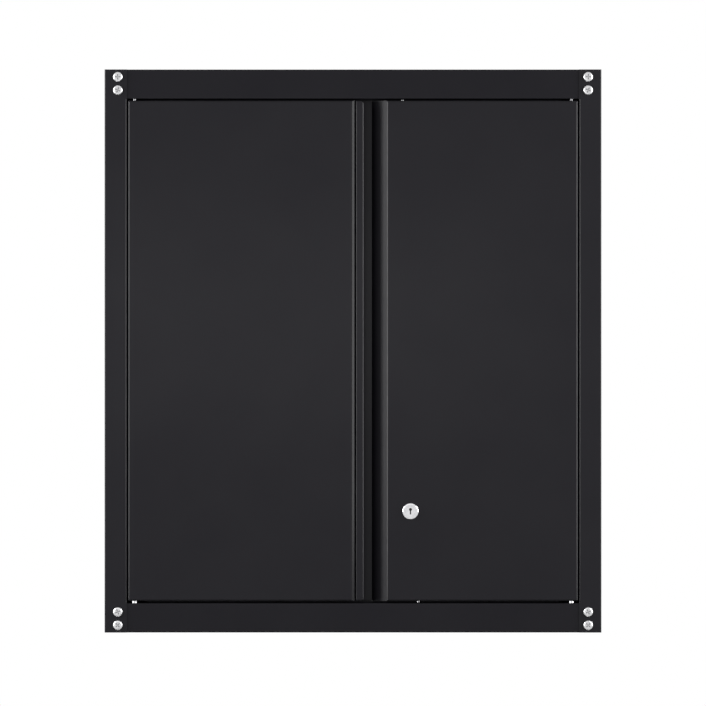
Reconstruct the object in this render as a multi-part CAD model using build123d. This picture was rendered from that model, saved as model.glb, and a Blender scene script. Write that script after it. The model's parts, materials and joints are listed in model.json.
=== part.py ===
from build123d import *
import os
from math import cos, pi, radians, sin

# A wall cabinet of bent sheet steel with two hinged doors and a two-rod lock.
# Millimetres. The wall face is the plane y = 0, the front faces -Y, and the
# origin is the centre of the four wall holes.

# Cabinet shell
cabinet_width = 600.0
cabinet_height = 680.0
cabinet_depth = 300.0
sheet = 1.0
outer_bend = 1.5
frame_bend = 2.5
stile_width = 27.0
rail_height = 35.5
frame_return = 22.0
stop_lip_height = 10.0
stop_lip_inset = 50.0
rear_flange = 20.0
end_flange = 18.0
seam = 0.3

# Wall fixing
wall_hole_spacing_x = 400.0
wall_hole_spacing_z = 480.0
wall_hole_diameter = 8.0
hanging_rail_length = 550.0
hanging_rail_height = 40.0
hanging_rail_thickness = 2.0

# Rivets of the back panel
rivet_diameter = 3.4
rivet_head_diameter = 6.0
rivet_bulb_diameter = 5.5
rivet_bulb_length = 2.0
rivet_edge_inset = 10.0
rivet_rows = 5
rivet_columns = 2
rivet_end_margin = 40.0
rivet_clearance = 0.05

# Corner screws and their weld nuts
screw_diameter = 6.0
screw_head_diameter = 12.0
screw_head_height = 3.7
screw_head_round = 2.4
screw_length = 9.0
screw_hole_diameter = 6.6
screw_side_inset = 16.0
screw_end_inset = 9.0
screw_pitch = 16.0
recess_span = 6.4
recess_width = 1.3
recess_depth = 2.2
nut_across_flats = 10.0
nut_height = 5.0
nut_clearance = 0.1

# Doors
door_thickness = 20.0
door_bend = 2.5
meeting_bend = 6.0
meeting_nose_bend = 1.5
meeting_slope_width = 4.4
meeting_slope_drop = 2.0
door_lip = 18.0
hinge_side_gap = 1.2
top_gap = 2.0
bottom_gap = 2.6
meeting_gap = 1.2
meeting_offset = 3.0
stiffener_width = 60.0
stiffener_crown = 26.0
stiffener_web_slope = 3.0
stiffener_height = 12.0
stiffener_end_margin = 22.0

# Finger pull bent into the right door
pull_lip_width = 9.7
pull_lip_return = 5.0
pull_lip_bend = 2.4
pull_root_bend = 1.2
pull_lip_corner = 3.6
pull_mouth = 28.7
pull_floor_width = 18.4
pull_depth = 17.5

# Pivot hinges
pivot_inset = 9.0
pivot_depth = 5.5
pin_diameter = 4.0
pin_head_diameter = 5.4
pin_head_height = 2.5
pin_engagement = 7.0
pin_clearance = 0.05
bush_diameter = 6.0
bush_neck_diameter = 5.2
bush_length = 8.0
bush_clearance = 0.05
washer_diameter = 7.0
washer_clearance = 0.1

# Lock
lock_from_pull = 27.4
lock_below_centre = 193.5
bezel_diameter = 20.0
bezel_height = 2.8
bezel_rim_diameter = 16.8
barrel_diameter = 16.0
barrel_flats = 14.0
barrel_length = 11.5
barrel_clearance = 0.1
plug_diameter = 12.0
plug_clearance = 0.05
plug_recess = 0.6
keyhole_diameter = 3.6
keyhole_rise = 2.2
keyway_width = 1.5
keyway_drop = 3.8
keyway_depth = 8.0
drive_square = 6.0
drive_clearance = 0.1
lock_nut_across_flats = 22.0
lock_nut_height = 3.5
cam_gap = 0.2
cam_thickness = 2.0
cam_hub_radius = 6.5
cam_arm_radius = 3.6
crank_radius = 11.0
crank_pin_diameter = 4.0
crank_half_turn = 45.0
clip_diameter = 7.0
clip_thickness = 0.8
clip_clearance = 0.05
cam_screw_diameter = 4.0
cam_screw_head_diameter = 7.4
cam_screw_head_height = 2.4
cam_screw_length = 6.0

# Lock rods
rod_diameter = 4.5
rod_offset = 9.5
rod_depth = 15.0
rod_hole_diameter = 7.0
rod_tip_round = 0.8
top_rod_rise = 1.9
bottom_rod_drop = 2.5
yoke_thickness = 2.0
yoke_wall = 1.3
yoke_slot_play = 0.45
yoke_sweep_clearance = 0.9
guide_neck_diameter = 6.0
guide_collar_diameter = 7.0
guide_collar_height = 4.0
guide_clearance = 0.1
guide_block_width = 12.0
guide_block_foot = 28.0
guide_block_foot_height = 3.0
guide_block_height = 12.0
guide_block_wall = 2.0
guide_block_above_centre = 60.0

# Magnetic catches and stop bumpers
left_catch_x = -40.0
right_catch_x = 115.0
catch_width = 30.0
catch_height = 8.5
catch_length = 12.0
catch_ear_width = 7.0
catch_ear_thickness = 3.0
magnet_width = 26.0
magnet_height = 6.0
magnet_length = 11.6
magnet_gap = 0.4
magnet_clearance = 0.1
window_clearance = 0.5
catch_screw_diameter = 3.0
catch_screw_head_diameter = 5.4
catch_screw_head_height = 1.8
catch_screw_hole_diameter = 3.2
bumper_diameter = 8.0
bumper_gap = 0.3
left_bumper_x = -90.0
right_bumper_x = 160.0

# Shelf and its supports
shelf_front_inset = 45.0
shelf_rear_inset = 8.0
shelf_edge = 20.0
shelf_edge_return = 8.0
shelf_side_gap = 0.7
standard_face = 16.0
standard_flange = 7.0
standard_height = 5.0
standard_margin = 50.0
standard_front_inset = 80.0
standard_rear_inset = 50.0
slot_pitch = 25.0
slot_width = 9.0
slot_height = 4.0
clip_plate_width = 14.0
clip_plate_thickness = 1.5
clip_plate_drop = 9.0
clip_rise = 5.0
clip_tab_length = 14.0
clip_hook_width = 8.0
clip_hook_height = 3.0
clip_hook_reach = 3.0

# Places that follow from the sizes above
front = -cabinet_depth
half_width = cabinet_width / 2
half_height = cabinet_height / 2
opening_half_width = half_width - stile_width
opening_half_height = half_height - rail_height
rail_face = front + sheet
jamb_end = front + frame_return
stop_face = jamb_end - sheet
wall_flange_face = -sheet
panel_half_width = half_width - outer_bend - seam

door_top = opening_half_height - top_gap
door_bottom = bottom_gap - opening_half_height
door_back = front + door_thickness
hinge_edge = opening_half_width - hinge_side_gap
left_door_edge = meeting_offset - meeting_gap / 2
right_door_edge = meeting_offset + meeting_gap / 2
pull_lip_edge = right_door_edge + pull_lip_width
pull_edge = pull_lip_edge + pull_mouth

pivot_x = opening_half_width - pivot_inset
pivot_y = front + pivot_depth

lock_x = pull_edge + lock_from_pull
lock_z = -lock_below_centre
barrel_end = front + barrel_length
cam_front = barrel_end + cam_gap
cam_back = cam_front + cam_thickness
rod_y = front + rod_depth
yoke_front = rod_y - yoke_thickness / 2
yoke_back = rod_y + yoke_thickness / 2
clip_front = yoke_back + cam_gap
crank_pin_end = clip_front + clip_thickness + cam_gap
crank_rise = crank_radius * sin(radians(crank_half_turn))
crank_reach = crank_radius * cos(radians(crank_half_turn))
top_rod_x = lock_x - rod_offset
bottom_rod_x = lock_x + rod_offset
top_rod_tip = door_top + top_rod_rise
bottom_rod_tip = door_bottom - bottom_rod_drop

stop_z = opening_half_height - stop_lip_height / 2
magnet_face = door_back + magnet_gap
catch_screw_x = catch_width / 2 + catch_ear_width / 2

side_face = half_width - sheet
standard_face_x = side_face - standard_height
standard_half_length = opening_half_height - standard_margin
standard_places = (front + standard_front_inset, -standard_rear_inset)
shelf_top = clip_rise + sheet
shelf_half_width = standard_face_x - clip_plate_thickness - shelf_side_gap

screw_heights = (half_height - screw_end_inset, half_height - screw_end_inset - screw_pitch)
screw_places = [
    (side * (half_width - screw_side_inset), end * height)
    for side in (-1, 1)
    for end in (1, -1)
    for height in screw_heights
]
wall_hole_places = [
    (side * wall_hole_spacing_x / 2, end * wall_hole_spacing_z / 2)
    for side in (-1, 1)
    for end in (1, -1)
]
catch_places = (left_catch_x, right_catch_x)


def rivet_places():
    """Rivet centres: a row down each side flange and along the top and bottom flanges."""
    places = []
    side_x = half_width - rivet_edge_inset
    end_z = half_height - rivet_edge_inset
    row_span = 2 * (half_height - rivet_end_margin)
    column_pitch = cabinet_width / (rivet_columns + 1)
    for row in range(rivet_rows):
        z = row_span * (row / (rivet_rows - 1) - 0.5)
        places += [(-side_x, z), (side_x, z)]
    for column in range(rivet_columns):
        x = column_pitch * (column + 1) - half_width
        places += [(x, end_z), (x, -end_z)]
    return places


# Shared shapes


def slab(x_span, y_span, z_span):
    """Box between two limits on each axis."""
    middle = [(low + high) / 2 for low, high in (x_span, y_span, z_span)]
    size = [high - low for low, high in (x_span, y_span, z_span)]
    return Pos(*middle) * Box(*size)


def post(diameter, x, y, low, high):
    """Upright round bar from low to high."""
    bar = Cylinder(diameter / 2, high - low, align=(Align.CENTER, Align.CENTER, Align.MIN))
    return Pos(x, y, low) * bar


def dowel(diameter, x, z, near, far):
    """Round bar along Y, from near to far."""
    bar = Cylinder(diameter / 2, far - near, align=(Align.CENTER, Align.CENTER, Align.MIN))
    return Pos(x, near, z) * Rot(-90, 0, 0) * bar


def hexagon_along_y(across_flats, x, z, near, far):
    """Hexagonal bar along Y, from near to far."""
    outline = RegularPolygon(across_flats / 2, 6, major_radius=False)
    return Pos(x, near, z) * Rot(-90, 0, 0) * extrude(outline, far - near, dir=(0, 0, 1))


def right_of(start, end):
    """Unit normal on the right-hand side of a run."""
    along = (Vector(*end) - Vector(*start)).normalized()
    return Vector(along.Y, -along.X)


def sheet_section(points, bends):
    """Section of a bent sheet: one face follows the points, and the sheet lies to their right.

    bends gives the outer radius of each bend.
    """
    normals = [right_of(start, end) for start, end in zip(points, points[1:])]
    back_points = [Vector(*points[0]) + normals[0] * sheet]
    face_radii = []
    back_radii = []
    for corner, before, after, bend in zip(points[1:-1], normals, normals[1:], bends):
        back_points.append(Vector(*corner) + (before + after) * (sheet / (1 + before.dot(after))))
        inner = max(bend - sheet, 0)
        turns_right = before.cross(after).Z < 0
        face_radii.append(bend if turns_right else inner)
        back_radii.append(inner if turns_right else bend)
    back_points.append(Vector(*points[-1]) + normals[-1] * sheet)
    with BuildSketch() as section:
        with BuildLine():
            face_side = FilletPolyline(*points, radius=face_radii)
            back_side = FilletPolyline(*back_points, radius=back_radii)
            Line(face_side @ 0, back_side @ 0)
            Line(face_side @ 1, back_side @ 1)
        make_face()
    return section.sketch


def upright(section, low, high):
    """Plan section (x, y) drawn out from low to high."""
    return extrude(Pos(0, 0, low) * section, high - low, dir=(0, 0, 1))


def lengthwise(section, left, right):
    """Side section (y, z) drawn out from left to right."""
    return extrude(Plane.YZ.offset(left) * section, right - left, dir=(1, 0, 0))


def rounded_face(corners, radii):
    """Flat face with the given corners, each rounded by its own radius."""
    with BuildSketch() as outline:
        with BuildLine():
            FilletPolyline(*corners, radius=radii, close=True)
        make_face()
    return outline.sketch


def rounded_outline(low, high, radii):
    """Rectangle from its low to its high corner, with corner radii counted from the low corner."""
    corners = [low, (high[0], low[1]), high, (low[0], high[1])]
    return rounded_face(corners, radii)


def mirrored_in_x(shape):
    return mirror(shape, about=Plane.YZ)


def mirrored_in_z(shape):
    return mirror(shape, about=Plane.XY)


# Cabinet shell


def left_side_panel():
    """Stile, outer wall and rear flange in one sheet, with a jamb only beside the doors."""
    stile_edge = (-opening_half_width, front)
    wall_points = [
        (-half_width, front),
        (-half_width, wall_flange_face),
        (rear_flange - half_width, wall_flange_face),
    ]
    jamb_section = sheet_section(
        [(-opening_half_width, jamb_end), stile_edge] + wall_points,
        [frame_bend, outer_bend, outer_bend],
    )
    end_section = sheet_section([stile_edge] + wall_points, [outer_bend, outer_bend])
    jamb_half_height = opening_half_height - seam
    panel = upright(jamb_section, -jamb_half_height, jamb_half_height)
    panel += upright(end_section, jamb_half_height, half_height)
    panel += upright(end_section, -half_height, -jamb_half_height)
    for x, z in screw_places:
        if x < 0:
            panel -= dowel(screw_hole_diameter, x, z, front - sheet, front + 2 * sheet)
    return drilled_for_rivets(panel)


def drilled_for_rivets(panel):
    """Panel with its rivet holes, which stop short of the back panel."""
    hole = rivet_diameter + 2 * rivet_clearance
    for x, z in rivet_places():
        panel -= dowel(hole, x, z, wall_flange_face - 2 * sheet, wall_flange_face)
    return panel


def end_panel(rod_x):
    """Top panel: rail, jamb, stop lip, plate and flanges in one sheet."""
    plate_rear = wall_flange_face - outer_bend
    rail_section = sheet_section(
        [
            (jamb_end, opening_half_height),
            (rail_face, opening_half_height),
            (rail_face, half_height),
            (plate_rear, half_height),
        ],
        [outer_bend, outer_bend],
    )
    stop_section = sheet_section(
        [
            (stop_face, opening_half_height - stop_lip_height),
            (stop_face, opening_half_height),
            (stop_face - stop_lip_height / 2, opening_half_height),
        ],
        [outer_bend],
    )
    rear_section = sheet_section(
        [
            (plate_rear - rear_flange, half_height),
            (wall_flange_face, half_height),
            (wall_flange_face, half_height - rear_flange),
        ],
        [outer_bend],
    )
    stop_half_width = half_width - stop_lip_inset
    rear_half_width = half_width - rear_flange - seam
    panel = lengthwise(rail_section, -panel_half_width, panel_half_width)
    panel += lengthwise(stop_section, -stop_half_width, stop_half_width)
    panel += lengthwise(rear_section, -rear_half_width, rear_half_width)
    for side in (-1, 1):
        outer = side * panel_half_width
        inner = outer - side * sheet
        panel += slab(
            sorted((inner, outer)),
            (jamb_end, wall_flange_face - sheet - seam),
            (half_height - end_flange, half_height - sheet / 2),
        )
        panel -= post(
            pin_diameter + 2 * pin_clearance,
            side * pivot_x,
            pivot_y,
            opening_half_height - sheet,
            opening_half_height + 2 * sheet,
        )
    panel -= post(
        rod_hole_diameter,
        rod_x,
        rod_y,
        opening_half_height - sheet,
        opening_half_height + 2 * sheet,
    )
    for x, z in screw_places:
        if z > 0:
            panel -= dowel(screw_hole_diameter, x, z, front, front + 3 * sheet)
    return drilled_for_rivets(panel)


def top_panel():
    """End panel with a window and two screw holes for each magnetic catch."""
    panel = end_panel(top_rod_x)
    for x in catch_places:
        half_window = magnet_width / 2 + window_clearance
        half_rise = magnet_height / 2 + window_clearance
        panel -= slab(
            (x - half_window, x + half_window),
            (stop_face - sheet, jamb_end + sheet),
            (stop_z - half_rise, stop_z + half_rise),
        )
        for side in (-1, 1):
            screw_x = x + side * catch_screw_x
            panel -= dowel(catch_screw_hole_diameter, screw_x, stop_z, stop_face - sheet, jamb_end + sheet)
    return panel


def bottom_panel():
    """The top panel's mirror image, with its rod hole under the other rod."""
    return mirrored_in_z(end_panel(bottom_rod_x))


def rivet_head(clearance):
    """Countersunk rivet head, flush with the wall face."""
    outer_radius = rivet_head_diameter / 2 + clearance
    inner_radius = rivet_diameter / 2 + clearance
    return Pos(0, -sheet / 2, 0) * Rot(-90, 0, 0) * Cone(inner_radius, outer_radius, sheet)


def back_panel():
    """Flat sheet over the rear flanges, with wall holes and countersunk rivet holes."""
    panel = slab(
        (-half_width + seam, half_width - seam),
        (-sheet, 0),
        (-half_height + seam, half_height - seam),
    )
    for x, z in wall_hole_places:
        panel -= dowel(wall_hole_diameter, x, z, -2 * sheet, sheet)
    for x, z in rivet_places():
        panel -= Pos(x, 0, z) * rivet_head(rivet_clearance)
    return panel


def hanging_rail(z):
    """Flat bar behind the wall holes, inside the cabinet."""
    bar = slab(
        (-hanging_rail_length / 2, hanging_rail_length / 2),
        (-sheet - hanging_rail_thickness, -sheet),
        (z - hanging_rail_height / 2, z + hanging_rail_height / 2),
    )
    for x, hole_z in wall_hole_places:
        if hole_z * z > 0:
            bar -= dowel(wall_hole_diameter, x, hole_z, -2 * (sheet + hanging_rail_thickness), 0)
    return bar


def back_panel_rivets():
    """Blind rivets through the back panel and the flange in front of it."""
    flange_back = wall_flange_face - sheet
    rivet = rivet_head(0)
    rivet += dowel(rivet_diameter, 0, 0, flange_back, -sheet)
    rivet += dowel(rivet_bulb_diameter, 0, 0, flange_back - rivet_bulb_length, flange_back)
    return Compound(children=[Pos(x, 0, z) * rivet for x, z in rivet_places()])


# Fasteners of the front corners


def front_corner_screws():
    """Pan-head screws with a cross recess, each turned a little differently."""
    head_front = front - screw_head_height
    head = dowel(screw_head_diameter, 0, 0, head_front, front)
    head = fillet(head.edges().sort_by(Axis.Y)[0], screw_head_round)
    shank = dowel(screw_diameter, 0, 0, front, front + screw_length)
    recess_floor = head_front + recess_depth
    recess = slab(
        (-recess_span / 2, recess_span / 2),
        (head_front - sheet, recess_floor),
        (-recess_width / 2, recess_width / 2),
    )
    recess += Rot(0, 90, 0) * recess
    screw = head + shank - recess
    turn_step = 360 / len(screw_places) / 2
    screws = []
    for number, (x, z) in enumerate(screw_places):
        screws.append(Pos(x, 0, z) * Rot(0, number * turn_step, 0) * screw)
    return Compound(children=screws)


def corner_weld_nuts():
    """Hexagonal nuts welded behind the rails."""
    nut_front = rail_face + sheet
    nut = hexagon_along_y(nut_across_flats, 0, 0, nut_front, nut_front + nut_height)
    nut -= dowel(screw_diameter + 2 * nut_clearance, 0, 0, nut_front - sheet, nut_front + 2 * nut_height)
    return Compound(children=[Pos(x, 0, z) * nut for x, z in screw_places])


# Doors


def door_end_flange(edge, inward, left, right):
    """Top or bottom flange of a door with its inner lip. inward is -1 at the top and 1 at the bottom."""
    points = [
        (front, edge + inward * door_lip),
        (front, edge),
        (door_back, edge),
        (door_back, edge + inward * door_lip),
    ]
    bends = [door_bend, outer_bend]
    if inward > 0:
        points.reverse()
        bends.reverse()
    return lengthwise(sheet_section(points, bends), left, right)


def door_pan(section, outline, left, right):
    """Bent skin closed by a flange at the top and the bottom, with every front edge rounded."""
    flanges = door_end_flange(door_top, -1, left, right) + door_end_flange(door_bottom, 1, left, right)
    pan = upright(section, door_bottom, door_top)
    pan += flanges & upright(outline, door_bottom, door_top)
    side_outline = rounded_outline((front, door_bottom), (door_back, door_top), [door_bend, 0, 0, door_bend])
    return pan & lengthwise(side_outline, -half_width, half_width)


def bored_for_bushes(pan, x):
    """Door pan with a hole for the neck of its upper and lower hinge bush."""
    hole = bush_neck_diameter + 2 * bush_clearance
    for edge in (door_top, door_bottom):
        pan -= post(hole, x, pivot_y, edge - 2 * sheet, edge + 2 * sheet)
    return pan


def left_door_skin():
    """Plain pan whose meeting edge slopes back from a wide bend and ends in a tight one."""
    corners = [
        (left_door_edge, door_back),
        (left_door_edge, front + meeting_slope_drop),
        (left_door_edge - meeting_slope_width, front),
        (-hinge_edge, front),
        (-hinge_edge, door_back),
    ]
    bends = [outer_bend, meeting_nose_bend, meeting_bend, door_bend, outer_bend]
    first_lip = (left_door_edge - door_lip, door_back)
    last_lip = (door_lip - hinge_edge, door_back)
    section = sheet_section([first_lip] + corners + [last_lip], bends)
    outline = rounded_face(corners, bends)
    return bored_for_bushes(door_pan(section, outline, -hinge_edge, left_door_edge), -pivot_x)


def right_door_skin():
    """Pan whose meeting edge is folded into a trough with an overhanging finger lip."""
    trough_left = right_door_edge + sheet
    trough_floor = front + pull_depth
    lip_inner = pull_lip_edge - sheet
    section = sheet_section(
        [
            (hinge_edge - door_lip, door_back),
            (hinge_edge, door_back),
            (hinge_edge, front),
            (pull_edge, front),
            (trough_left + pull_floor_width, trough_floor),
            (trough_left, trough_floor),
            (trough_left, front + sheet),
            (lip_inner, front + sheet),
            (lip_inner, front + pull_lip_return),
        ],
        [outer_bend, door_bend, door_bend, door_bend, door_bend, pull_root_bend, pull_lip_bend],
    )
    flange_left = pull_edge + door_bend
    outline = rounded_outline(
        (flange_left, front),
        (hinge_edge, door_back),
        [0, door_bend, outer_bend, 0],
    )
    skin = bored_for_bushes(door_pan(section, outline, flange_left, hinge_edge), pivot_x)
    for edge, inward in ((door_top, -1), (door_bottom, 1)):
        corner = make_face(
            Polyline(
                (pull_lip_edge, edge),
                (pull_lip_edge - pull_lip_corner, edge),
                (pull_lip_edge, edge + inward * pull_lip_corner),
                close=True,
            )
        )
        cutter = extrude(Plane.XZ.offset(-front - pull_depth / 2) * corner, pull_depth, dir=(0, -1, 0))
        skin -= cutter
    for x, edge in ((top_rod_x, door_top), (bottom_rod_x, door_bottom)):
        hole = guide_neck_diameter + 2 * bush_clearance
        skin -= post(hole, x, rod_y, edge - 2 * sheet, edge + 2 * sheet)
    skin -= lock_barrel(barrel_clearance, front - sheet, front + 2 * sheet)
    return skin


def door_stiffener(x):
    """Hat-section channel up the inside of a door."""
    foot = front + 2 * sheet
    crown = foot + stiffener_height - sheet
    half_crown = stiffener_crown / 2
    half_base = half_crown + stiffener_web_slope
    half = stiffener_width / 2
    section = sheet_section(
        [
            (x - half, foot),
            (x - half_base, foot),
            (x - half_crown, crown),
            (x + half_crown, crown),
            (x + half_base, foot),
            (x + half, foot),
        ],
        [outer_bend] * 4,
    )
    return upright(section, door_bottom + stiffener_end_margin, door_top - stiffener_end_margin)


# Pivot hinges


def upper_hinge_pin():
    """Headed pin set in the jamb above the right door."""
    shank = post(pin_diameter, pivot_x, pivot_y, door_top - pin_engagement, opening_half_height + sheet)
    head_low = opening_half_height + sheet
    return shank + post(pin_head_diameter, pivot_x, pivot_y, head_low, head_low + pin_head_height)


def lower_hinge_pin():
    """Headed pin set in the jamb below the right door."""
    head_top = -opening_half_height - sheet
    shank = post(pin_diameter, pivot_x, pivot_y, head_top, door_bottom + pin_engagement)
    return shank + post(pin_head_diameter, pivot_x, pivot_y, head_top - pin_head_height, head_top)


def hinge_washer():
    """Washer in the bottom gap that carries the right door."""
    washer = post(washer_diameter, pivot_x, pivot_y, -opening_half_height, door_bottom)
    bore = pin_diameter + 2 * washer_clearance
    return washer - post(bore, pivot_x, pivot_y, -half_height, door_top)


def hinge_bushes(x):
    """Plain bushes inside a door's end flanges, with necks flush in the flanges."""
    bushes = []
    for edge, inward in ((door_top, -1), (door_bottom, 1)):
        shoulder = edge + inward * sheet
        body_span = sorted((shoulder, shoulder + inward * bush_length))
        neck_span = sorted((shoulder, edge))
        bush = post(bush_diameter, x, pivot_y, *body_span)
        bush += post(bush_neck_diameter, x, pivot_y, *neck_span)
        bush -= post(pin_diameter + 2 * pin_clearance, x, pivot_y, edge - half_height, edge + half_height)
        bushes.append(bush)
    return Compound(children=bushes)


# Lock


def lock_barrel(clearance, near, far):
    """Round barrel with two flats."""
    barrel = dowel(barrel_diameter + 2 * clearance, lock_x, lock_z, near, far)
    half_flats = barrel_flats / 2 + clearance
    return barrel & slab(
        (lock_x - half_flats, lock_x + half_flats),
        (near, far),
        (lock_z - barrel_diameter, lock_z + barrel_diameter),
    )


def lock_housing():
    """Rounded bezel on the door's face and a barrel through it."""
    base = bezel_diameter / 2
    rim = bezel_rim_diameter / 2
    shoulder = bezel_height / 3
    with BuildSketch() as half_section:
        with BuildLine():
            Line((0, 0), (base, 0))
            Line((base, 0), (base, shoulder))
            TangentArc((base, shoulder), (rim, bezel_height), tangent=(0, 1))
            Line((rim, bezel_height), (0, bezel_height))
            Line((0, bezel_height), (0, 0))
        make_face()
    bezel = revolve(half_section.sketch, Axis.Y)
    housing = Pos(lock_x, front, lock_z) * Rot(180, 0, 0) * bezel
    housing += lock_barrel(0, front, barrel_end)
    bore = plug_diameter + 2 * plug_clearance
    return housing - dowel(bore, lock_x, lock_z, front - 2 * bezel_height, barrel_end + sheet)


def lock_nut():
    """Thin hexagonal nut that clamps the housing to the door."""
    near = front + sheet
    nut = hexagon_along_y(lock_nut_across_flats, lock_x, lock_z, near, near + lock_nut_height)
    bore = barrel_diameter + 2 * barrel_clearance
    return nut - dowel(bore, lock_x, lock_z, near - sheet, near + 2 * lock_nut_height)


def lock_plug():
    """Turning plug with a keyway in front and a square drive behind."""
    face = front - bezel_height + plug_recess
    plug = dowel(plug_diameter, lock_x, lock_z, face, barrel_end)
    half_square = drive_square / 2
    plug += slab(
        (lock_x - half_square, lock_x + half_square),
        (barrel_end, cam_back),
        (lock_z - half_square, lock_z + half_square),
    )
    keyway_floor = face + keyway_depth
    keyhole = dowel(keyhole_diameter, lock_x, lock_z + keyhole_rise, face - sheet, keyway_floor)
    keyhole += slab(
        (lock_x - keyway_width / 2, lock_x + keyway_width / 2),
        (face - sheet, keyway_floor),
        (lock_z - keyway_drop, lock_z + keyhole_rise),
    )
    screw_hole = cam_screw_diameter + 2 * drive_clearance
    screw_floor = cam_back - cam_screw_length - drive_clearance
    return plug - keyhole - dowel(screw_hole, lock_x, lock_z, screw_floor, cam_back + sheet)


def crank_pin_places():
    """Crank pin centres at rest: the left pin low and the right pin high."""
    return [(lock_x + side * crank_reach, lock_z + side * crank_rise) for side in (-1, 1)]


def lock_cam():
    """Two-armed crank plate with a pin on each arm."""
    arm = SlotCenterToCenter(2 * crank_radius, 2 * cam_arm_radius)
    outline = Rot(0, 0, crank_half_turn) * arm + Circle(cam_hub_radius)
    plate = extrude(outline, cam_thickness, dir=(0, 0, 1))
    cam = Pos(lock_x, cam_back, lock_z) * Rot(90, 0, 0) * plate
    half_square = drive_square / 2 + drive_clearance
    cam -= slab(
        (lock_x - half_square, lock_x + half_square),
        (cam_front - sheet, cam_back + sheet),
        (lock_z - half_square, lock_z + half_square),
    )
    for x, z in crank_pin_places():
        cam += dowel(crank_pin_diameter, x, z, cam_back, crank_pin_end)
    return cam


def cam_screw():
    """Screw that holds the cam on the plug."""
    head_back = cam_back + cam_screw_head_height
    head = dowel(cam_screw_head_diameter, lock_x, lock_z, cam_back, head_back)
    head -= slab(
        (lock_x - cam_screw_head_diameter, lock_x + cam_screw_head_diameter),
        (head_back - cam_screw_head_height / 2, head_back + sheet),
        (lock_z - recess_width / 2, lock_z + recess_width / 2),
    )
    return head + dowel(cam_screw_diameter, lock_x, lock_z, cam_back - cam_screw_length, cam_back)


def cam_pin_clips():
    """Retaining rings on the ends of the crank pins."""
    clips = []
    for x, z in crank_pin_places():
        clip = dowel(clip_diameter, x, z, clip_front, clip_front + clip_thickness)
        bore = crank_pin_diameter + 2 * clip_clearance
        clips.append(clip - dowel(bore, x, z, clip_front - sheet, clip_front + 2 * clip_thickness))
    return Compound(children=clips)


# Lock rods and their guides


def lock_rod(length_above_lock):
    """Round rod on a flat slotted yoke, made for the left crank pin and rising from it."""
    pin_radius = crank_pin_diameter / 2
    slot_left = lock_x - crank_radius - pin_radius - yoke_slot_play
    slot_right = lock_x - crank_reach + pin_radius + yoke_slot_play
    pin_z = lock_z - crank_rise
    slot_half_height = pin_radius + yoke_slot_play
    slot_low = pin_z - slot_half_height
    sweep = crank_radius + cam_arm_radius
    rod_start = lock_z + sweep + yoke_sweep_clearance
    yoke = slab(
        (slot_left - yoke_wall, slot_right + yoke_wall),
        (yoke_front, yoke_back),
        (slot_low - yoke_wall, rod_start + rod_diameter),
    )
    yoke -= slab(
        (slot_left, slot_right),
        (yoke_front - sheet, yoke_back + sheet),
        (slot_low, pin_z + slot_half_height),
    )
    tip = lock_z + length_above_lock
    bar = post(rod_diameter, top_rod_x, rod_y, rod_start, tip)
    bar = chamfer(bar.edges().sort_by(Axis.Z)[-1], rod_tip_round)
    return yoke + bar


def bottom_lock_rod():
    """The same rod turned half a turn about the lock's axis."""
    rod = lock_rod(lock_z - bottom_rod_tip)
    return Pos(lock_x, 0, lock_z) * Rot(0, 180, 0) * Pos(-lock_x, 0, -lock_z) * rod


def rod_end_guides():
    """Collars that guide each rod through the door's end flange."""
    guides = []
    bore = rod_diameter + 2 * guide_clearance
    for x, edge, inward in ((top_rod_x, door_top, -1), (bottom_rod_x, door_bottom, 1)):
        shoulder = edge + inward * sheet
        collar_span = sorted((shoulder, shoulder + inward * guide_collar_height))
        neck_span = sorted((shoulder, edge))
        guide = post(guide_collar_diameter, x, rod_y, *collar_span)
        guide += post(guide_neck_diameter, x, rod_y, *neck_span)
        guides.append(guide - post(bore, x, rod_y, edge - rail_height, edge + rail_height))
    return Compound(children=guides)


def rod_guide_block():
    """Footed block on the door's skin that steadies the long upper rod."""
    foot_front = front + sheet
    block_back = rod_y + rod_diameter / 2 + guide_block_wall
    block_low = guide_block_above_centre - guide_block_height / 2
    z_span = (block_low, block_low + guide_block_height)
    half_block = guide_block_width / 2
    half_foot = guide_block_foot / 2
    block = slab((top_rod_x - half_block, top_rod_x + half_block), (foot_front, block_back), z_span)
    foot_back = foot_front + guide_block_foot_height
    block += slab((top_rod_x - half_foot, top_rod_x + half_foot), (foot_front, foot_back), z_span)
    bore = rod_diameter + 2 * guide_clearance
    return block - post(bore, top_rod_x, rod_y, z_span[0] - sheet, z_span[1] + sheet)


# Magnetic catches and stop bumpers


def catch_housing(x):
    """Moulded box behind the stop lip, with an ear on each side."""
    z_span = (stop_z - catch_height / 2, stop_z + catch_height / 2)
    housing = slab((x - catch_width / 2, x + catch_width / 2), (jamb_end, jamb_end + catch_length), z_span)
    ear_reach = catch_width / 2 + catch_ear_width
    housing += slab((x - ear_reach, x + ear_reach), (jamb_end, jamb_end + catch_ear_thickness), z_span)
    half_pocket = magnet_width / 2 + magnet_clearance
    half_rise = magnet_height / 2 + magnet_clearance
    housing -= slab(
        (x - half_pocket, x + half_pocket),
        (jamb_end - sheet, magnet_face + magnet_length),
        (stop_z - half_rise, stop_z + half_rise),
    )
    for side in (-1, 1):
        screw_x = x + side * catch_screw_x
        hole_end = jamb_end + catch_length
        housing -= dowel(catch_screw_hole_diameter, screw_x, stop_z, jamb_end - sheet, hole_end)
    return housing


def catch_magnets():
    """Magnet bars that reach through the stop lip towards the doors."""
    magnets = []
    for x in catch_places:
        magnets.append(
            slab(
                (x - magnet_width / 2, x + magnet_width / 2),
                (magnet_face, magnet_face + magnet_length),
                (stop_z - magnet_height / 2, stop_z + magnet_height / 2),
            )
        )
    return Compound(children=magnets)


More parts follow.
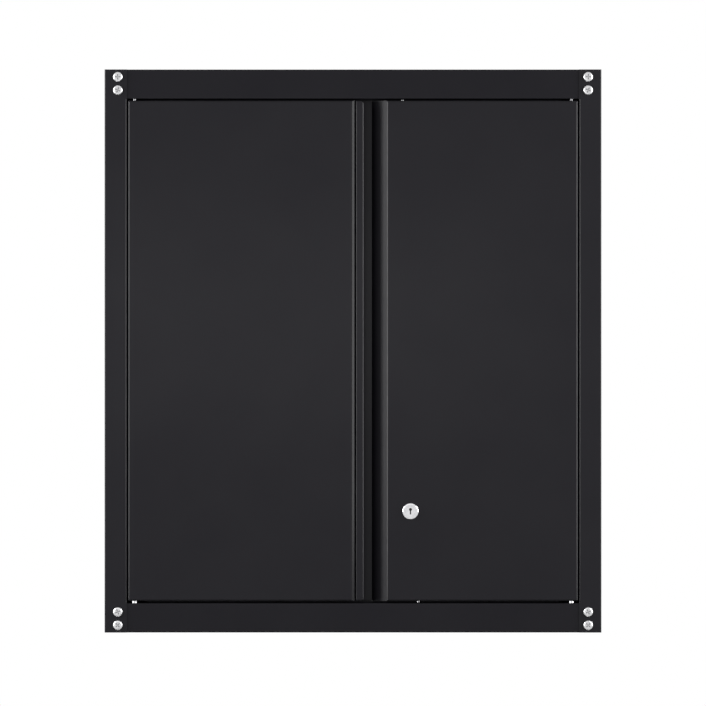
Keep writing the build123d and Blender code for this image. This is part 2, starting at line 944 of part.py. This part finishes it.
def catch_screws():
    """Screws through the catches' ears into the stop lip."""
    ear_back = jamb_end + catch_ear_thickness
    screw = dowel(catch_screw_diameter, 0, stop_z, stop_face, ear_back)
    screw += dowel(catch_screw_head_diameter, 0, stop_z, ear_back, ear_back + catch_screw_head_height)
    screws = []
    for x in catch_places:
        for side in (-1, 1):
            screws.append(Pos(x + side * catch_screw_x, 0, 0) * screw)
    return Compound(children=screws)


def stop_bumpers():
    """Thin rubber discs on the stop lips."""
    bumpers = []
    for x in (left_bumper_x, right_bumper_x):
        for z in (stop_z, -stop_z):
            bumpers.append(dowel(bumper_diameter, x, z, door_back + bumper_gap, stop_face))
    return Compound(children=bumpers)


# Shelf and its supports


def shelf():
    """Sheet shelf with turned-down front and rear edges."""
    shelf_front = front + shelf_front_inset
    shelf_rear = -shelf_rear_inset
    section = sheet_section(
        [
            (shelf_front + shelf_edge_return, shelf_top - shelf_edge),
            (shelf_front, shelf_top - shelf_edge),
            (shelf_front, shelf_top),
            (shelf_rear, shelf_top),
            (shelf_rear, shelf_top - shelf_edge),
        ],
        [outer_bend] * 3,
    )
    return lengthwise(section, -shelf_half_width, shelf_half_width)


def left_shelf_standards():
    """Two slotted hat-section strips up the inside of the left wall."""
    foot_x = sheet - side_face
    face_x = -standard_face_x
    half_face = standard_face / 2
    half_foot = half_face + standard_flange
    slots_each_way = int((standard_half_length - slot_height) / slot_pitch)
    standards = []
    for y in standard_places:
        section = sheet_section(
            [
                (foot_x, y + half_foot),
                (foot_x, y + half_face),
                (face_x, y + half_face),
                (face_x, y - half_face),
                (foot_x, y - half_face),
                (foot_x, y - half_foot),
            ],
            [outer_bend] * 4,
        )
        strip = upright(section, -standard_half_length, standard_half_length)
        for step in range(-slots_each_way, slots_each_way + 1):
            z = step * slot_pitch
            strip -= slab(
                (face_x - 2 * sheet, face_x + sheet),
                (y - slot_width / 2, y + slot_width / 2),
                (z - slot_height / 2, z + slot_height / 2),
            )
        standards.append(strip)
    return Compound(children=standards)


def shelf_clips():
    """Clips hooked into the standards, with a tab under each corner of the shelf."""
    clips = []
    plate_x = clip_plate_thickness - standard_face_x
    for y in standard_places:
        plate_span = (y - clip_plate_width / 2, y + clip_plate_width / 2)
        clip = slab((-standard_face_x, plate_x), plate_span, (-clip_plate_drop, clip_rise))
        tab_end = plate_x + clip_tab_length
        clip += slab((plate_x, tab_end), plate_span, (clip_rise - clip_plate_thickness, clip_rise))
        clip += slab(
            (-standard_face_x - clip_hook_reach, -standard_face_x),
            (y - clip_hook_width / 2, y + clip_hook_width / 2),
            (-clip_hook_height / 2, clip_hook_height / 2),
        )
        clips += [clip, mirrored_in_x(clip)]
    return Compound(children=clips)


def pair(shape):
    """A right-hand piece and its mirror image as one group."""
    return Compound(children=[shape, mirrored_in_x(shape)])


left_panel = left_side_panel()
left_standards = left_shelf_standards()
left_stiffener_x = (left_door_edge - hinge_edge) / 2
right_stiffener_x = (bottom_rod_x + hinge_edge) / 2

nodes = {
    "left_side_panel": left_panel,
    "right_side_panel": mirrored_in_x(left_panel),
    "top_panel": top_panel(),
    "bottom_panel": bottom_panel(),
    "back_panel": back_panel(),
    "upper_hanging_rail": hanging_rail(wall_hole_spacing_z / 2),
    "lower_hanging_rail": hanging_rail(-wall_hole_spacing_z / 2),
    "back_panel_rivets": back_panel_rivets(),
    "front_corner_screws": front_corner_screws(),
    "corner_weld_nuts": corner_weld_nuts(),
    "upper_hinge_pins": pair(upper_hinge_pin()),
    "lower_hinge_pins": pair(lower_hinge_pin()),
    "hinge_washers": pair(hinge_washer()),
    "shelf": shelf(),
    "left_shelf_standards": left_standards,
    "right_shelf_standards": mirrored_in_x(left_standards),
    "shelf_clips": shelf_clips(),
    "left_catch_housing": catch_housing(left_catch_x),
    "right_catch_housing": catch_housing(right_catch_x),
    "catch_magnets": catch_magnets(),
    "catch_screws": catch_screws(),
    "stop_bumpers": stop_bumpers(),
    "left_door_skin": left_door_skin(),
    "left_door_stiffener": door_stiffener(left_stiffener_x),
    "left_door_bushes": hinge_bushes(-pivot_x),
    "right_door_skin": right_door_skin(),
    "right_door_stiffener": door_stiffener(right_stiffener_x),
    "right_door_bushes": hinge_bushes(pivot_x),
    "lock_housing": lock_housing(),
    "lock_nut": lock_nut(),
    "rod_end_guides": rod_end_guides(),
    "rod_guide_block": rod_guide_block(),
    "lock_plug": lock_plug(),
    "lock_cam": lock_cam(),
    "cam_screw": cam_screw(),
    "cam_pin_clips": cam_pin_clips(),
    "top_lock_rod": lock_rod(top_rod_tip - lock_z),
    "bottom_lock_rod": bottom_lock_rod(),
}

os.makedirs("parts", exist_ok=True)
for name, shape in nodes.items():
    export_step(shape, f"parts/{name}.step")

lock_stroke = 2 * crank_rise
print(f"lock rod stroke {lock_stroke:.4f} mm, {lock_stroke / (pi / 2):.5f} mm per radian")
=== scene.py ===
"""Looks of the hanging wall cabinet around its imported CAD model, in metres in the CAD's own frame."""

import json

import bpy
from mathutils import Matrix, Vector


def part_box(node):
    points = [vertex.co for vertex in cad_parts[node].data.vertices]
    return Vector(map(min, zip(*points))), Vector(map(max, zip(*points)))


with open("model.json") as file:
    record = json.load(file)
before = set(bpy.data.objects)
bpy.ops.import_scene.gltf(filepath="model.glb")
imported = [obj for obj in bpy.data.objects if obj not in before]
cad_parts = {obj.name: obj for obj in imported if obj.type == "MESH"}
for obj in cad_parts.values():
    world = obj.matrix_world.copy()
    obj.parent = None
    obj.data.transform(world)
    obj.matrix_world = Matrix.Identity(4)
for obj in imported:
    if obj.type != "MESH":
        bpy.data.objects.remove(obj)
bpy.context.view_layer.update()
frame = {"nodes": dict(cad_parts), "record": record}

# Camera, straight in front as in the photograph
front_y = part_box("left_side_panel")[0].y
camera_distance = 8.0
view_width = 0.8525
sensor_width = 36.0
view_drop = 0.0024

# Values between which nearly all of a noise lies
noise_low = 0.3
noise_high = 0.7

# Share of a bend's normal towards the front where its gloss starts, is full, starts to fade and is gone
bend_facing = (0.755, 0.80, 0.955, 0.985)

# Gloss of the paint on the top and bottom panels, lowered as painted shade so that they render darker than
# the doors
rail_specular = 0.150

# Painted shade inside the keyway, by the depth below the plug's face
keyway_unshaded_depth = 0.0002
keyway_dark_depth = 0.0015
keyway_painted_shade = (0.05, 0.05, 0.05)

# Places of the colour sockets on a Mix node, whose other kinds of data have sockets of the same names
mix_first_input = 6
mix_second_input = 7
mix_output = 2

# Floor, surround and lamps
floor_z = -1.25
floor_half = 1.5
ambient_light = 0.05
surround_light = 1.0
strip_size = (0.4, 1.4)
strip_place = (1.5, -0.72, 0.31)
strip_power = 22.0
softbox_size = (0.9, 1.4)
softbox_place = (1.8, -1.8, 0.38)
softbox_power = 19.0
glow_size = (0.6, 0.25)
glow_place = (-0.07, -0.70, 0.05)
glow_power = 0.30
back_size = (1.6, 1.0)
back_place = (0.0, 2.4, 1.2)
back_power = 11.0


# Shader building


def new_material(name):
    """New node material, as (material, its principled shader, its nodes, its links)."""
    material = bpy.data.materials.new(name)
    material.use_nodes = True
    tree = material.node_tree
    shader = tree.nodes["Principled BSDF"]
    return material, shader, tree.nodes, tree.links


def object_noise(nodes, links, size):
    """Noise whose grains are about the given size, fixed to the piece."""
    place = nodes.new("ShaderNodeTexCoord")
    noise = nodes.new("ShaderNodeTexNoise")
    noise.inputs["Scale"].default_value = 1.0 / size
    links.new(place.outputs["Object"], noise.inputs["Vector"])
    return noise.outputs["Fac"]


def spread(nodes, links, noise, low, high):
    """Number between low and high, led by a noise."""
    span = nodes.new("ShaderNodeMapRange")
    span.inputs["From Min"].default_value = noise_low
    span.inputs["From Max"].default_value = noise_high
    span.inputs["To Min"].default_value = low
    span.inputs["To Max"].default_value = high
    links.new(noise, span.inputs["Value"])
    return span.outputs["Result"]


def two_tone(nodes, links, noise, dark, pale):
    """Colour between two tones, led by a noise."""
    ramp = nodes.new("ShaderNodeValToRGB")
    dark_stop, pale_stop = ramp.color_ramp.elements
    dark_stop.position = noise_low
    dark_stop.color = (*dark, 1.0)
    pale_stop.position = noise_high
    pale_stop.color = (*pale, 1.0)
    links.new(noise, ramp.inputs["Fac"])
    return ramp.outputs["Color"]


def bumped(nodes, links, height, depth):
    """Normal that follows a height pattern of the given depth."""
    bump = nodes.new("ShaderNodeBump")
    bump.inputs["Distance"].default_value = depth
    links.new(height, bump.inputs["Height"])
    return bump.outputs["Normal"]


def smoother_on_bends(nodes, links, roughness, share):
    """Roughness that falls to a share of itself where the sheet turns away from the front in a bend."""
    place = nodes.new("ShaderNodeTexCoord")
    axes = nodes.new("ShaderNodeSeparateXYZ")
    links.new(place.outputs["Normal"], axes.inputs["Vector"])
    facing = nodes.new("ShaderNodeMath")
    facing.operation = "ABSOLUTE"
    links.new(axes.outputs["Y"], facing.inputs[0])
    ramp = nodes.new("ShaderNodeValToRGB")
    stops = ramp.color_ramp.elements
    stops[0].position = bend_facing[0]
    stops[1].position = bend_facing[-1]
    for position in bend_facing[1:-1]:
        stops.new(position)
    for stop, level in zip(stops, (1.0, share, share, 1.0)):
        stop.color = (level, level, level, 1.0)
    links.new(facing.outputs["Value"], ramp.inputs["Fac"])
    scaled = nodes.new("ShaderNodeMath")
    scaled.operation = "MULTIPLY"
    links.new(roughness, scaled.inputs[0])
    links.new(ramp.outputs["Color"], scaled.inputs[1])
    return scaled.outputs["Value"]


def colour_mix(nodes, links, share):
    """Mix of two colours, as (socket of the colour at share 0, socket of the one at 1, mixed colour)."""
    mix = nodes.new("ShaderNodeMix")
    mix.data_type = "RGBA"
    links.new(share, mix.inputs["Factor"])
    return mix.inputs[mix_first_input], mix.inputs[mix_second_input], mix.outputs[mix_output]


def with_painted_recess_shade(nodes, links, colour, reach, shade):
    """Colour with painted shade: it darkens down in recesses and against neighbouring faces, over a short
    reach.
    """
    openness = nodes.new("ShaderNodeAmbientOcclusion")
    openness.inputs["Distance"].default_value = reach
    hidden, open_face, mixed = colour_mix(nodes, links, openness.outputs["AO"])
    hidden.default_value = (*shade, 1.0)
    links.new(colour, open_face)
    return mixed


def finish_material(
    name,
    tones,
    tone_size,
    roughness,
    grain_size,
    grain_depth,
    metallic=0.0,
    specular=0.5,
    bend_share=None,
    painted_recess_shade=None,
):
    """Material with mottled colour, uneven roughness, a fine grain and, if given, smoother bends or painted
    shade in recesses.
    """
    material, shader, nodes, links = new_material(name)
    shader.inputs["Metallic"].default_value = metallic
    shader.inputs["Specular IOR Level"].default_value = specular
    mottle = object_noise(nodes, links, tone_size)
    colour = two_tone(nodes, links, mottle, *tones)
    if painted_recess_shade:
        colour = with_painted_recess_shade(nodes, links, colour, *painted_recess_shade)
    links.new(colour, shader.inputs["Base Color"])
    grain = object_noise(nodes, links, grain_size)
    gloss = spread(nodes, links, grain, *roughness)
    if bend_share:
        gloss = smoother_on_bends(nodes, links, gloss, bend_share)
    links.new(gloss, shader.inputs["Roughness"])
    links.new(bumped(nodes, links, grain, grain_depth), shader.inputs["Normal"])
    return material


# Finish of each material slot


finishes = {
    "black_paint": finish_material(
        "black_powder_coat",
        tones=((0.0050, 0.0046, 0.0068), (0.0066, 0.0062, 0.0084)),
        tone_size=0.08,
        roughness=(0.36, 0.44),
        grain_size=0.0012,
        grain_depth=0.00002,
        specular=0.186,
        bend_share=0.40,
    ),
    "zinc_steel": finish_material(
        "bright_zinc",
        tones=((0.52, 0.52, 0.54), (0.70, 0.70, 0.70)),
        tone_size=0.0015,
        roughness=(0.22, 0.34),
        grain_size=0.0004,
        grain_depth=0.00001,
        metallic=1.0,
        # Painted shade: the zinc darkens in the screws' cross recesses and where their heads meet the sheet
        painted_recess_shade=(0.002, (0.10, 0.10, 0.11)),
    ),
    "plain_steel": finish_material(
        "oiled_drawn_steel",
        tones=((0.20, 0.20, 0.21), (0.28, 0.28, 0.29)),
        tone_size=0.002,
        roughness=(0.34, 0.46),
        grain_size=0.0004,
        grain_depth=0.00001,
        metallic=1.0,
    ),
    "lock_chrome": finish_material(
        "polished_chrome",
        tones=((0.66, 0.66, 0.68), (0.74, 0.74, 0.75)),
        tone_size=0.004,
        roughness=(0.08, 0.14),
        grain_size=0.0006,
        grain_depth=0.000003,
        metallic=1.0,
    ),
    "white_nylon": finish_material(
        "white_nylon",
        tones=((0.64, 0.64, 0.60), (0.72, 0.72, 0.68)),
        tone_size=0.003,
        roughness=(0.42, 0.52),
        grain_size=0.0005,
        grain_depth=0.00001,
    ),
    "black_plastic": finish_material(
        "moulded_black_plastic",
        tones=((0.018, 0.018, 0.018), (0.026, 0.026, 0.026)),
        tone_size=0.006,
        roughness=(0.45, 0.58),
        grain_size=0.0006,
        grain_depth=0.00003,
    ),
    "magnet_steel": finish_material(
        "ground_magnet_steel",
        tones=((0.22, 0.22, 0.23), (0.32, 0.32, 0.33)),
        tone_size=0.002,
        roughness=(0.38, 0.52),
        grain_size=0.0004,
        grain_depth=0.00002,
        metallic=1.0,
    ),
    "black_rubber": finish_material(
        "black_rubber",
        tones=((0.016, 0.016, 0.016), (0.024, 0.024, 0.024)),
        tone_size=0.003,
        roughness=(0.70, 0.85),
        grain_size=0.0005,
        grain_depth=0.00003,
        specular=0.3,
    ),
}


def keyed_plug_chrome():
    """Chrome for the lock's plug with painted shade: its colour darkens down inside the keyway."""
    material = finishes["lock_chrome"].copy()
    material.name = "plug_chrome"
    nodes = material.node_tree.nodes
    links = material.node_tree.links
    shader = nodes["Principled BSDF"]
    face_colour = shader.inputs["Base Color"].links[0].from_socket
    place = nodes.new("ShaderNodeTexCoord")
    axes = nodes.new("ShaderNodeSeparateXYZ")
    links.new(place.outputs["Object"], axes.inputs["Vector"])
    depth = nodes.new("ShaderNodeMapRange")
    face_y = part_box("lock_plug")[0].y
    depth.inputs["From Min"].default_value = face_y + keyway_unshaded_depth
    depth.inputs["From Max"].default_value = face_y + keyway_dark_depth
    links.new(axes.outputs["Y"], depth.inputs["Value"])
    # Painted shade: the plug's colour turns dark with depth below its face
    lit_colour, shaded_colour, mixed = colour_mix(nodes, links, depth.outputs["Result"])
    links.new(face_colour, lit_colour)
    shaded_colour.default_value = (*keyway_painted_shade, 1.0)
    links.new(mixed, shader.inputs["Base Color"])
    return material


def make_shaded_rail_paint():
    """Powder coat of the top and bottom panels, a little less glossy than on the other sheets: a darker copy
    as painted shade.
    """
    material = finishes["black_paint"].copy()
    material.name = "black_powder_coat_rails_shaded_copy"
    shader = material.node_tree.nodes["Principled BSDF"]
    shader.inputs["Specular IOR Level"].default_value = rail_specular
    return material


for part in frame["record"]["subparts"]:
    mesh = frame["nodes"][part["node"]].data
    mesh.materials.clear()
    mesh.materials.append(finishes[part["material_slot"]])
frame["nodes"]["lock_plug"].data.materials[0] = keyed_plug_chrome()
# Painted shade: the top and bottom panels get a darker, less glossy copy of the powder coat
shaded_rail_paint = make_shaded_rail_paint()
for node in ("top_panel", "bottom_panel"):
    frame["nodes"][node].data.materials[0] = shaded_rail_paint


# Studio


def pale_floor():
    """Plain floor below the hung cabinet."""
    mesh = bpy.data.meshes.new("floor")
    corners = [(-1, -1), (1, -1), (1, 1), (-1, 1)]
    mesh.from_pydata([(x * floor_half, y * floor_half, floor_z) for x, y in corners], [], [(0, 1, 2, 3)])
    floor = bpy.data.objects.new("floor", mesh)
    bpy.context.scene.collection.objects.link(floor)
    mesh.materials.append(
        finish_material(
            "pale_floor",
            tones=((0.80, 0.80, 0.80), (0.84, 0.84, 0.84)),
            tone_size=0.5,
            roughness=(0.6, 0.7),
            grain_size=0.002,
            grain_depth=0.0001,
        )
    )


def area_light(name, place, size, power):
    """Soft rectangular lamp at a place, turned to the middle of the cabinet's front."""
    lamp = bpy.data.lights.new(name, "AREA")
    lamp.shape = "RECTANGLE"
    lamp.size, lamp.size_y = size
    lamp.energy = power
    holder = bpy.data.objects.new(name, lamp)
    holder.location = place
    to_front = Vector((0.0, front_y, 0.0)) - Vector(place)
    holder.rotation_euler = to_front.to_track_quat("-Z", "Y").to_euler()
    holder.visible_camera = False
    bpy.context.scene.collection.objects.link(holder)


def studio_world():
    """White surround where it is seen, reflected or seen through, and a dimmer even light on everything."""
    world = bpy.data.worlds.new("studio")
    world.use_nodes = True
    nodes = world.node_tree.nodes
    links = world.node_tree.links
    paths = nodes.new("ShaderNodeLightPath")
    seen = nodes.new("ShaderNodeMath")
    seen.operation = "MAXIMUM"
    links.new(paths.outputs["Is Camera Ray"], seen.inputs[0])
    links.new(paths.outputs["Is Glossy Ray"], seen.inputs[1])
    bright = nodes.new("ShaderNodeMath")
    bright.operation = "MAXIMUM"
    links.new(seen.outputs["Value"], bright.inputs[0])
    links.new(paths.outputs["Is Transmission Ray"], bright.inputs[1])
    level = nodes.new("ShaderNodeMapRange")
    level.inputs["To Min"].default_value = ambient_light
    level.inputs["To Max"].default_value = surround_light
    links.new(bright.outputs["Value"], level.inputs["Value"])
    background = nodes["Background"]
    background.inputs["Color"].default_value = (1.0, 1.0, 1.0, 1.0)
    links.new(level.outputs["Result"], background.inputs["Strength"])
    bpy.context.scene.world = world


def photo_camera():
    """Camera that frames the front as the photograph does."""
    camera = bpy.data.cameras.new("photo_camera")
    camera.sensor_width = sensor_width
    camera.lens = sensor_width * camera_distance / view_width
    holder = bpy.data.objects.new("photo_camera", camera)
    holder.location = (0.0, front_y - camera_distance, -view_drop)
    holder.rotation_euler = Vector((0.0, 1.0, 0.0)).to_track_quat("-Z", "Y").to_euler()
    bpy.context.scene.collection.objects.link(holder)
    bpy.context.scene.camera = holder


pale_floor()
# On both sides a strip picks out the bends and a softbox lights the front
for side in (-1, 1):
    mirrored = Vector((side, 1, 1))
    area_light(f"strip_{side}", mirrored * Vector(strip_place), strip_size, strip_power)
    area_light(f"softbox_{side}", mirrored * Vector(softbox_place), softbox_size, softbox_power)
# A faint lamp brightens the middle of the front, and another one lights the back
area_light("glow", glow_place, glow_size, glow_power)
area_light("back", back_place, back_size, back_power)
studio_world()
photo_camera()
bpy.context.scene.view_settings.view_transform = "Standard"
